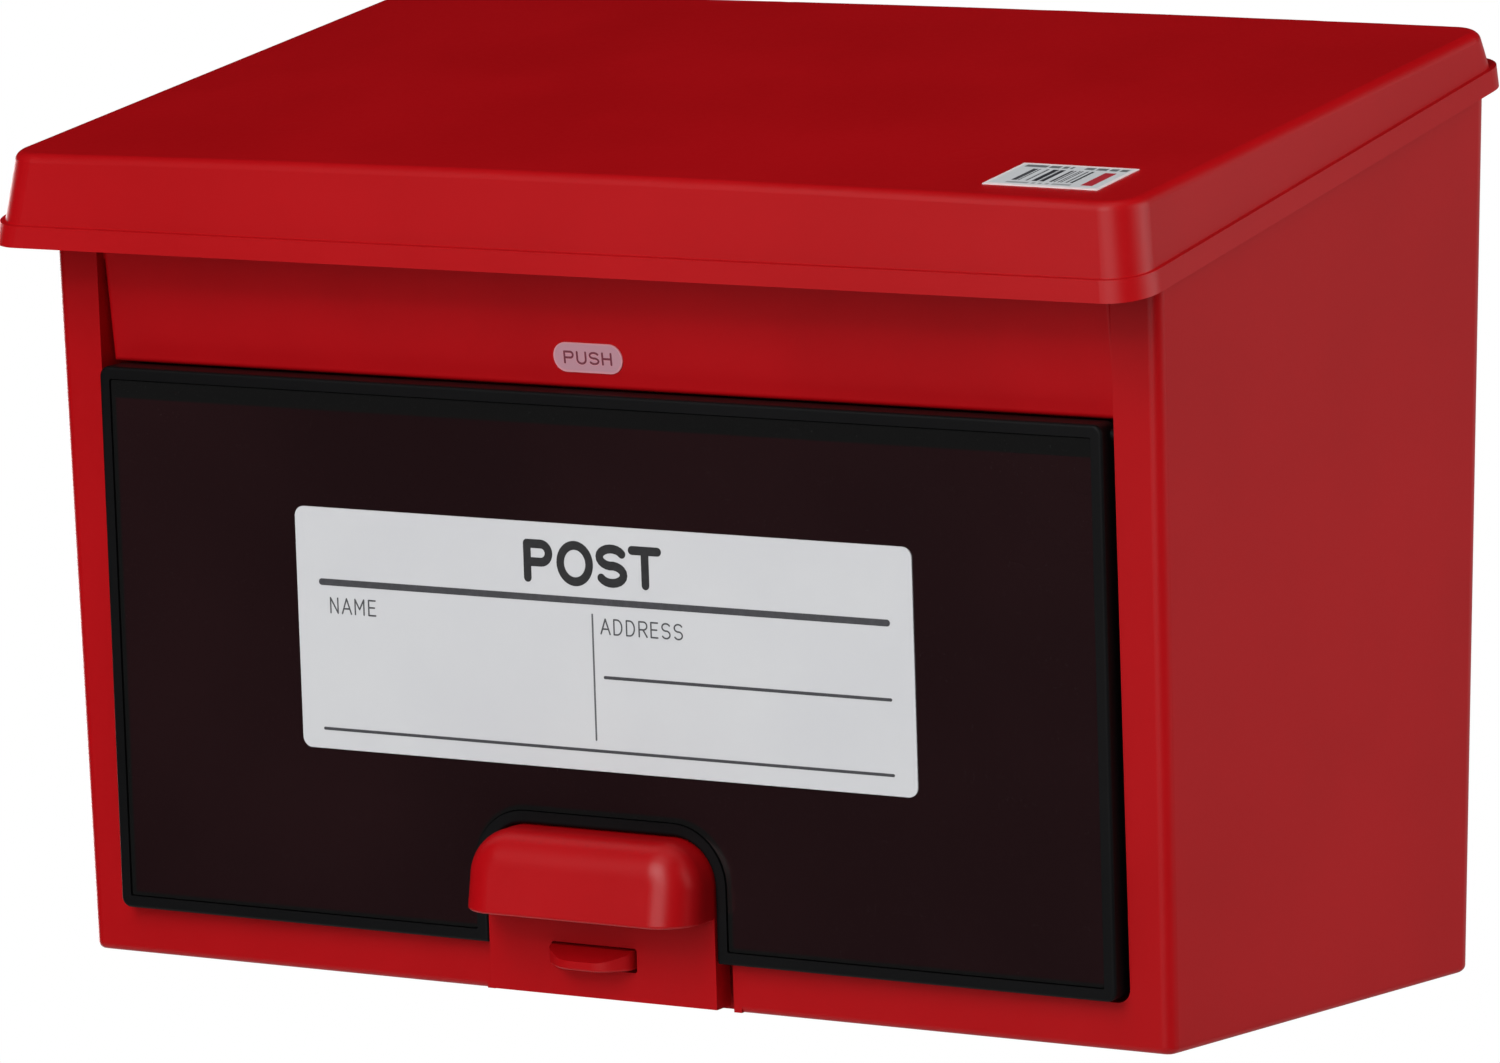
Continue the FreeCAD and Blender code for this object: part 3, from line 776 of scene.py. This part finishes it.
def ring_outlines(path: Path, width: float) -> list[Path]:
    """Return the outer and inner outlines of a closed stroke.

    Args:
        path: the stroke's middle line, whose first and last points are the same.
        width: the stroke's width.

    Returns:
        The two outlines.
    """
    ring = path[:-1]
    count = len(ring)
    outlines = []
    for side in (1.0, -1.0):
        points = []
        for index, (x, y) in enumerate(ring):
            step = Vector(ring[(index + 1) % count]) - Vector(ring[index - 1])
            step.normalize()
            points.append((x + side * step.y * width / 2.0, y - side * step.x * width / 2.0))
        outlines.append(points)
    return outlines


@dataclass
class PrintSheet:
    """A flat face that carries print, measured across and up it from its origin."""

    origin: Vector
    lean_deg: float
    body: Body

    def matrix(self, lift: float) -> Matrix:
        """Return the move from a flat drawing to the face, lifted off it.

        Args:
            lift: how far off the face the drawing lies.

        Returns:
            The move, in the frame.
        """
        upright = Matrix.Rotation(math.radians(90.0 + self.lean_deg), 4, "X")
        outward = upright.to_3x3() @ Vector((0.0, 0.0, 1.0))
        return Matrix.Translation(self.origin + outward * lift) @ upright

    def draw(self, name: str, path: Path, width: float, height: float) -> bpy.types.Object:
        """Add one stroke as a thin flat shape, before it is put on the face.

        Args:
            name: the piece's name.
            path: the stroke's middle line.
            width: the stroke's width.
            height: how far it lies above the drawing's plane.

        Returns:
            The stroke, still a curve.
        """
        bpy.ops.object.add(type="CURVE", location=(0.0, 0.0, height))
        flat = bpy.context.view_layer.objects.active
        flat.name = name
        flat.data.dimensions = "2D"
        flat.data.fill_mode = "BOTH"
        flat.data.extrude = INK_DEPTH
        closed = (Vector(path[0]) - Vector(path[-1])).length < CLOSED_GAP
        outlines = ring_outlines(path, width) if closed else [ribbon_outline(path, width)]
        for outline in outlines:
            spline = flat.data.splines.new("POLY")
            spline.points.add(len(outline) - 1)
            for point, (x, y) in zip(spline.points, outline):
                point.co = (x, y, 0.0, 1.0)
            spline.use_cyclic_u = True
        return flat

    def lay(self, name: str, strokes: list[Path], width: float, finish: Finish, lift: float) -> None:
        """Lay strokes of even width on the face as one flat piece.

        Each stroke lies a hair above the last, so that strokes that cross share no face.

        Args:
            name: the piece's name.
            strokes: the strokes' middle lines, across and up from the face's origin.
            width: the strokes' width.
            finish: the ink.
            lift: how far the ink stands off the face.
        """
        flats = [self.draw(name, path, width, index * STROKE_STEP) for index, path in enumerate(strokes)]
        bpy.ops.object.select_all(action="DESELECT")
        for flat in flats:
            flat.select_set(True)
        bpy.context.view_layer.objects.active = flats[0]
        bpy.ops.object.convert(target="MESH")
        bpy.ops.object.transform_apply(location=True, rotation=True, scale=True)
        bpy.ops.object.join()
        piece = bpy.context.view_layer.objects.active
        piece.name = name
        piece.data.name = name
        piece.matrix_world = self.matrix(lift)
        bpy.ops.object.transform_apply(location=True, rotation=True, scale=True)
        piece.data.materials.clear()
        piece.data.materials.append(finish.material())
        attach(piece, self.body.value)
        LOG.info("%s laid with %d strokes", name, len(strokes))


@dataclass(frozen=True)
class Word:
    """A short word in capital letters, with its place and the size of its letters."""

    text: str
    left: float
    base: float
    height: float
    stroke: float
    widths: tuple[float, ...]
    pitches: tuple[float, ...]

    def strokes(self) -> list[Path]:
        """Return every letter's strokes in the sheet's own measures."""
        tall = self.height - self.stroke
        found = []
        left = self.left + self.stroke / 2.0
        base = self.base + self.stroke / 2.0
        for letter, width, pitch in zip(self.text, self.widths, self.pitches):
            wide = width - self.stroke
            for path in letter_strokes(letter, wide / tall):
                found.append([(left + x * tall, base + y * tall) for x, y in path])
            left += pitch
        return found


@dataclass(frozen=True)
class Rule:
    """A straight printed line on a sheet, from one point to another."""

    name: str
    start: Point
    end: Point
    thickness: float
    tone: Tone

    def strokes(self) -> list[Path]:
        """Return the line's one stroke, whose round ends stay inside it."""
        start = Vector(self.start)
        end = Vector(self.end)
        inset = (end - start).normalized() * (self.thickness / 2.0)
        first = start + inset
        last = end - inset
        return [[(first.x, first.y), (last.x, last.y)]]


RED = Tone(179, 9, 17)
DEEP_RED = Tone(171, 7, 14)
# Painted light: the flap is the casing's plastic, and this lighter red stands in for the light that reaches
# it from low in front.
FLAP_RED_PAINTED_LIGHT = Tone(191, 10, 19)
BLACK = Tone(22, 22, 22)
DEEP_BLACK = Tone(16, 16, 17)
DEEPEST_BLACK = Tone(12, 12, 13)


@dataclass
class Housing:
    """The red box itself: casing, lid and the lid's sticker."""

    sticker_field: tuple[float, float] = (35.3 * MM, 22.4 * MM)

    def dress(self) -> None:
        """Give the casing, the lid and the sticker their finishes."""
        dress("casing", MouldedPlastic("red_casing_plastic", RED, DEEP_RED))
        dress("lid", LidPlastic("red_lid_plastic", RED, DEEP_RED))
        low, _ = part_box("lid_sticker")
        paper = Tone(240, 226, 227)
        shade = Tone(206, 211, 214)
        ink = Tone(46, 46, 52)
        block = Tone(178, 40, 52)
        sticker = StickerPaper("sticker_print", paper, shade, ink, block, low.x, low.y, *self.sticker_field)
        dress("lid_sticker", sticker)


@dataclass
class MailFlap:
    """The red mail flap with its badge and the badge's word."""

    badge_height: float = 8.4 * MM
    badge_thickness: float = 1.2 * MM
    letter_height: float = 3.75 * MM
    letter_stroke: float = 0.62 * MM
    letter_width: float = 3.4 * MM
    letter_pitch: float = 4.15 * MM
    word_width: float = 15.85 * MM
    wear_steps: tuple[float, float, float] = (12.0, 10.0, 10.0)

    def dress(self) -> None:
        """Give the flap its lighter red as painted light and the badge its finish with a painted highlight,
        and lay the word on the badge over a painted highlight.
        """
        # Painted light: the flap's red is lighter than the casing's to stand in for light, not for another
        # plastic.
        dress("flap", MouldedPlastic("red_flap_plastic_painted_light", FLAP_RED_PAINTED_LIGHT, RED))
        low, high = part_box("push_badge")
        centre = (low + high) / 2.0
        half_height = self.badge_height / 2.0
        half_run = (high.x - low.x) / 2.0 - half_height
        milky = Tone(204, 152, 165)
        # This rim tone is the badge's painted highlight along its edge.
        rim = Tone(232, 158, 168)
        badge = BadgePlastic("badge_plastic", milky, rim, centre.x, centre.z, half_run, half_height)
        dress("push_badge", badge)
        lean = math.radians(FLAP_LEAN_DEG)
        face_top = Vector((centre.x, low.y, high.z - self.badge_thickness * math.sin(lean)))
        middle = face_top + Vector((0.0, math.sin(lean), -math.cos(lean))) * half_height
        sheet = PrintSheet(middle, FLAP_LEAN_DEG, Body.FLAP)
        for name, tone, shift, extra, lift in (
            # Painted highlight: a lighter copy of the word, a little wider and lower, shows as the lit lower
            # edges of the letters under the dark word.
            ("push_word_painted_highlight", Tone(226, 158, 168), -0.16 * MM, 0.12 * MM, 0.02 * MM),
            ("push_word", Tone(118, 42, 60), 0.0, 0.0, 0.035 * MM),
        ):
            word = Word(
                text="PUSH",
                left=-self.word_width / 2.0 - extra / 2.0,
                base=-self.letter_height / 2.0 + shift,
                height=self.letter_height,
                stroke=self.letter_stroke,
                widths=(self.letter_width,) * 4,
                pitches=(self.letter_pitch,) * 4,
            )
            ink = Ink(name + "_ink", tone, tone.raised(*self.wear_steps))
            sheet.lay(name, word.strokes(), self.letter_stroke + extra, ink, lift)


@dataclass
class Door:
    """The smoked door: black rim, window, name card with its print, handle and screws."""

    card_thickness: float = 0.4 * MM
    print_lift: float = 0.03 * MM
    wear_steps: tuple[float, float, float] = (9.0, 9.0, 9.0)

    def dress(self) -> None:
        """Give each piece of the door its finish and print the card."""
        rim = MouldedPlastic("black_rim_plastic", DEEP_BLACK, DEEPEST_BLACK, roughness=0.5, specular=0.1)
        dress("door_frame", rim)
        low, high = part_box("door_window")
        smoke = Tone(36, 20, 22)
        deep_smoke = Tone(31, 17, 19)
        dress("door_window", SmokedPlastic("smoked_window", smoke, deep_smoke, BLACK, low, high))
        dress("name_card", CardPlastic("card_plastic", Tone(216, 217, 219), Tone(212, 213, 216)))
        dress("handle", MouldedPlastic("red_handle_plastic", RED, DEEP_RED, roughness=0.34, specular=0.28))
        dress("handle_screws", PlatedSteel("screw_plating", Tone(205, 203, 196), Tone(168, 166, 160)))
        self.print_card()

    def card_sheet(self) -> PrintSheet:
        """Return the card's face, measured from its top left corner."""
        low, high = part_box("name_card")
        lean = math.radians(DOOR_LEAN_DEG)
        corner = Vector((low.x, low.y, high.z - self.card_thickness * math.sin(lean)))
        return PrintSheet(corner, DOOR_LEAN_DEG, Body.DOOR)

    def print_card(self) -> None:
        """Lay the card's words and rules."""
        sheet = self.card_sheet()
        dark = Tone(31, 31, 33)
        grey = Tone(72, 73, 76)
        line = Tone(62, 62, 66)
        thin_line = Tone(92, 93, 96)
        title = Word(
            text="POST", left=76.6 * MM, base=-17.0 * MM, height=12.1 * MM, stroke=2.5 * MM,
            widths=(9.6 * MM, 12.0 * MM, 10.3 * MM, 10.8 * MM),
            pitches=(10.9 * MM, 12.9 * MM, 10.7 * MM, 10.8 * MM),
        )
        name_word = Word(
            text="NAME", left=10.9 * MM, base=-30.1 * MM, height=4.7 * MM, stroke=0.45 * MM,
            widths=(2.9 * MM, 3.5 * MM, 3.4 * MM, 2.7 * MM),
            pitches=(3.9 * MM, 4.4 * MM, 4.6 * MM, 3.0 * MM),
        )
        address_word = Word(
            text="ADDRESS", left=101.2 * MM, base=-30.3 * MM, height=4.6 * MM, stroke=0.45 * MM,
            widths=(3.4 * MM, 3.0 * MM, 3.0 * MM, 3.0 * MM, 2.6 * MM, 3.0 * MM, 3.0 * MM),
            pitches=(4.3 * MM, 4.1 * MM, 4.1 * MM, 3.9 * MM, 3.6 * MM, 4.0 * MM, 3.2 * MM),
        )
        words = (
            ("card_title", title, dark),
            ("card_name_word", name_word, grey),
            ("card_address_word", address_word, grey),
        )
        for name, word, tone in words:
            ink = Ink(name + "_ink", tone, tone.raised(*self.wear_steps))
            sheet.lay(name, word.strokes(), word.stroke, ink, self.print_lift)
        rules = (
            Rule("card_top_rule", (7.4 * MM, -21.2 * MM), (194.7 * MM, -21.2 * MM), 1.9 * MM, line),
            Rule("card_middle_rule", (101.8 * MM, -42.3 * MM), (194.7 * MM, -42.3 * MM), 0.9 * MM, line),
            Rule("card_bottom_rule", (7.2 * MM, -63.1 * MM), (194.9 * MM, -63.1 * MM), 0.85 * MM, line),
            Rule("card_divider", (98.7 * MM, -24.6 * MM), (98.7 * MM, -60.3 * MM), 0.55 * MM, thin_line),
        )
        for rule in rules:
            ink = Ink(rule.name + "_ink", rule.tone, rule.tone.raised(*self.wear_steps))
            sheet.lay(rule.name, rule.strokes(), rule.thickness, ink, self.print_lift)


@dataclass(frozen=True)
class Softbox:
    """A square soft lamp that looks at the box from a direction."""

    name: str
    azimuth_deg: float
    elevation_deg: float
    distance: float
    size: float
    level: float

    def place(self, target: Vector) -> None:
        """Add the lamp.

        Args:
            target: the point that it looks at.
        """
        way = direction(self.azimuth_deg, self.elevation_deg)
        bpy.ops.object.light_add(type="AREA", location=target + way * self.distance)
        lamp = bpy.context.view_layer.objects.active
        lamp.name = self.name
        lamp.rotation_mode = "QUATERNION"
        lamp.rotation_quaternion = (-way).to_track_quat("-Z", "Y")
        lamp.data.shape = "SQUARE"
        lamp.data.size = self.size
        lamp.data.energy = self.level * (math.pi * self.distance) ** 2


@dataclass
class Studio:
    """The plain studio: a pale floor, soft lamps, a dim room in front and a pale backdrop behind."""

    floor_drop: float = 1.0
    floor_radius: float = 2.0
    floor_corners: int = 96
    room_level: float = 0.02
    room_gloss_cut: float = 0.85
    backdrop_level: float = 0.45
    backdrop_side: Point = (0.8, 0.97)
    backdrop_top: Point = (0.12, 0.3)
    camera_place: tuple[float, float, float] = (1.3663, -2.2934, 0.3072)
    camera_azimuth_deg: float = 31.96
    camera_elevation_deg: float = 6.25
    camera_lens: float = 220.02
    camera_sensor: float = 36.0
    camera_clip: Point = (0.05, 100.0)
    lamps: tuple[Softbox, ...] = (
        Softbox("key_softbox", -6.0, 37.0, 2.4, 1.3, 0.52),
        Softbox("front_softbox", 2.0, 8.0, 3.0, 2.1, 0.44),
        Softbox("right_softbox", 102.0, 24.0, 2.6, 2.0, 0.36),
        Softbox("rear_softbox", 116.0, 14.0, 2.6, 1.6, 0.32),
        Softbox("top_softbox", -8.0, 72.0, 2.4, 1.4, 0.14),
        Softbox("left_rear_softbox", -118.0, -10.0, 2.6, 1.2, 0.5),
    )

    def build(self) -> None:
        """Add the floor, the world's light, the lamps and the camera."""
        self.add_floor()
        self.add_world()
        low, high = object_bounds()
        for lamp in self.lamps:
            lamp.place((low + high) / 2.0)
        self.add_camera()

    def add_floor(self) -> None:
        """Add the round pale floor, well below the box as under a box on a wall."""
        low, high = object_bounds()
        centre = ((low.x + high.x) / 2.0, (low.y + high.y) / 2.0, low.z - self.floor_drop)
        bpy.ops.object.select_all(action="DESELECT")
        bpy.ops.mesh.primitive_circle_add(
            vertices=self.floor_corners, radius=self.floor_radius, fill_type="NGON", location=centre)
        floor = bpy.context.view_layer.objects.active
        floor.name = "studio_floor"
        bpy.ops.object.transform_apply(location=True, rotation=True, scale=True)
        paint = FloorPaint("floor_paint", Tone(236, 236, 236), Tone(231, 231, 231))
        floor.data.materials.append(paint.material())
        floor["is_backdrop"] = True

    def add_world(self) -> None:
        """Fill the world with a dim room, a pale backdrop low behind the box, and white for the camera."""
        world = bpy.data.worlds.new("studio_world")
        bpy.context.scene.world = world
        world.use_nodes = True
        paint = Paint(world.node_tree)
        way = paint.node("ShaderNodeTexCoord").outputs["Generated"]
        _, behind, up = paint.axes(way)
        backdrop = behind.ramp(*self.backdrop_side) * up.ramp(*self.backdrop_top, 1.0, 0.0)
        path = paint.node("ShaderNodeLightPath")
        glossy = Value(paint, path.outputs["Is Glossy Ray"])
        room = self.room_level * (1.0 - glossy * self.room_gloss_cut)
        camera = Value(paint, path.outputs["Is Camera Ray"])
        through = Value(paint, path.outputs["Is Transmission Ray"])
        seen = camera.highest(through)
        level = (room + backdrop * self.backdrop_level) * (1.0 - seen) + seen
        sockets = {"Color": (1.0, 1.0, 1.0, 1.0), "Strength": level}
        light = paint.node("ShaderNodeBackground", {}, sockets)
        paint.node("ShaderNodeOutputWorld", {}, {"Surface": light.outputs[0]})

    def add_camera(self) -> None:
        """Add the camera at the photograph's place and angle."""
        back = direction(self.camera_azimuth_deg, self.camera_elevation_deg)
        bpy.ops.object.camera_add(location=self.camera_place)
        camera = bpy.context.view_layer.objects.active
        camera.name = "photo_camera"
        camera.rotation_mode = "QUATERNION"
        camera.rotation_quaternion = (-back).to_track_quat("-Z", "Y")
        camera.data.sensor_width = self.camera_sensor
        camera.data.lens = self.camera_lens
        camera.data.clip_start, camera.data.clip_end = self.camera_clip
        bpy.context.scene.camera = camera


def main() -> None:
    """Dress the frame, lay the print and set up the studio."""
    logging.basicConfig(level=logging.INFO, format="%(message)s")
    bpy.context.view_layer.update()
    bpy.ops.object.select_all(action="DESELECT")
    Housing().dress()
    MailFlap().dress()
    Door().dress()
    Studio().build()
    bpy.context.scene.view_settings.view_transform = "Standard"


if __name__ == "__main__":
    main()
